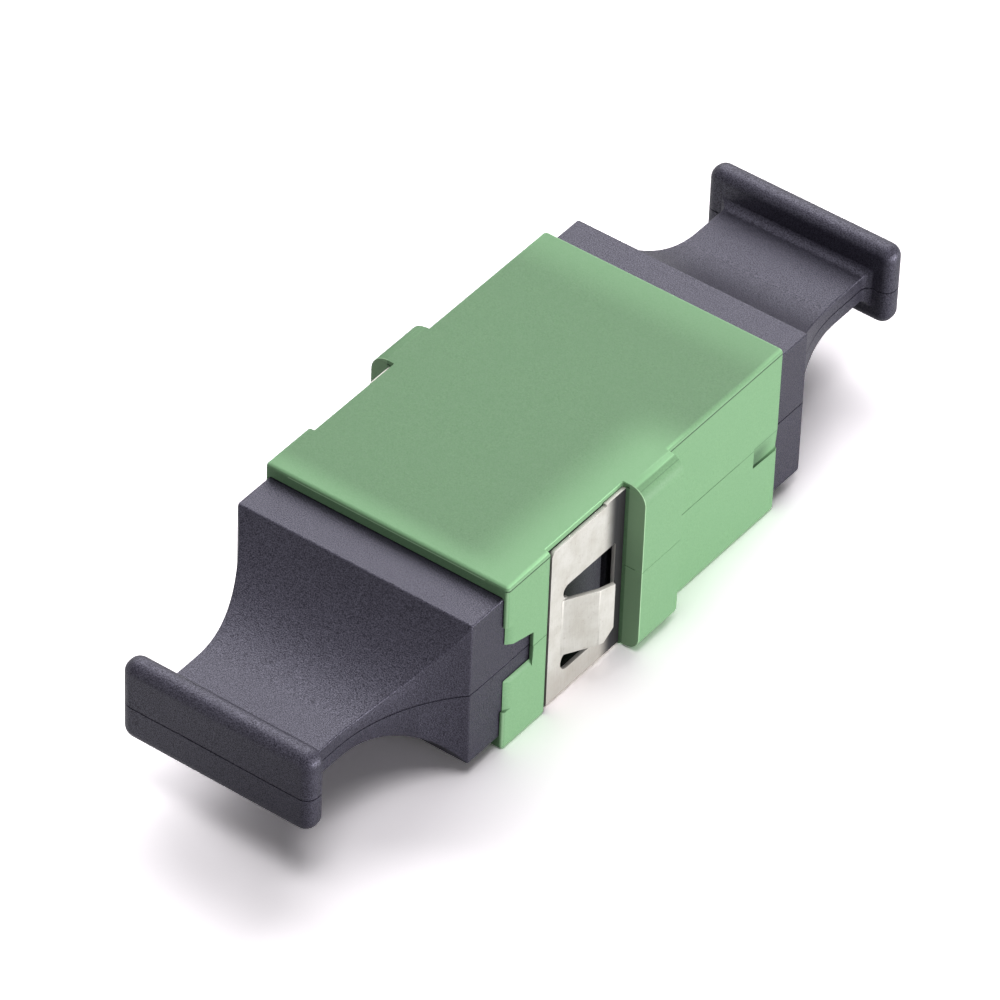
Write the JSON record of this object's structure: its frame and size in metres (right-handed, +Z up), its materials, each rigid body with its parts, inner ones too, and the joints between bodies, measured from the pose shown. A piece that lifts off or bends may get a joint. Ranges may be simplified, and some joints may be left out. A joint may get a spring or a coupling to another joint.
{
  "type": "fibre coupler",
  "caption": "Rectangular panel coupler for multi-fibre plugs, with a side flange, a folded spring clip and a dust cap in each mouth.",
  "frame": {"origin": "centre of the underside of the housing, halfway between its two mouths", "axes": "+Y along the coupling axis from the clip-side mouth to the other mouth, +Z up through the flush top face, +X across"},
  "size_m": [0.015, 0.0436, 0.0093],
  "materials": {
    "green_plastic": "fine satin moulded",
    "black_plastic": "satin moulded",
    "charcoal_plastic": "spark-eroded grain",
    "spring_steel": "bright rolled strip"
  },
  "bodies": {
    "housing": {"housing_top": "green_plastic", "housing_bottom": "green_plastic", "latch_insert_near": "black_plastic", "latch_insert_far": "black_plastic", "spring_clip": "spring_steel"},
    "near_cap": {"cap_near": "charcoal_plastic"},
    "far_cap": {"cap_far": "charcoal_plastic"}
  },
  "joints": [
    {"name": "near_cap_pull", "type": "slide", "parent": "housing", "child": "near_cap", "axis": [0, -1, 0], "range_m": [0, 0.0055]},
    {"name": "far_cap_pull", "type": "slide", "parent": "housing", "child": "far_cap", "axis": [0, 1, 0], "range_m": [0, 0.0055]}
  ]
}
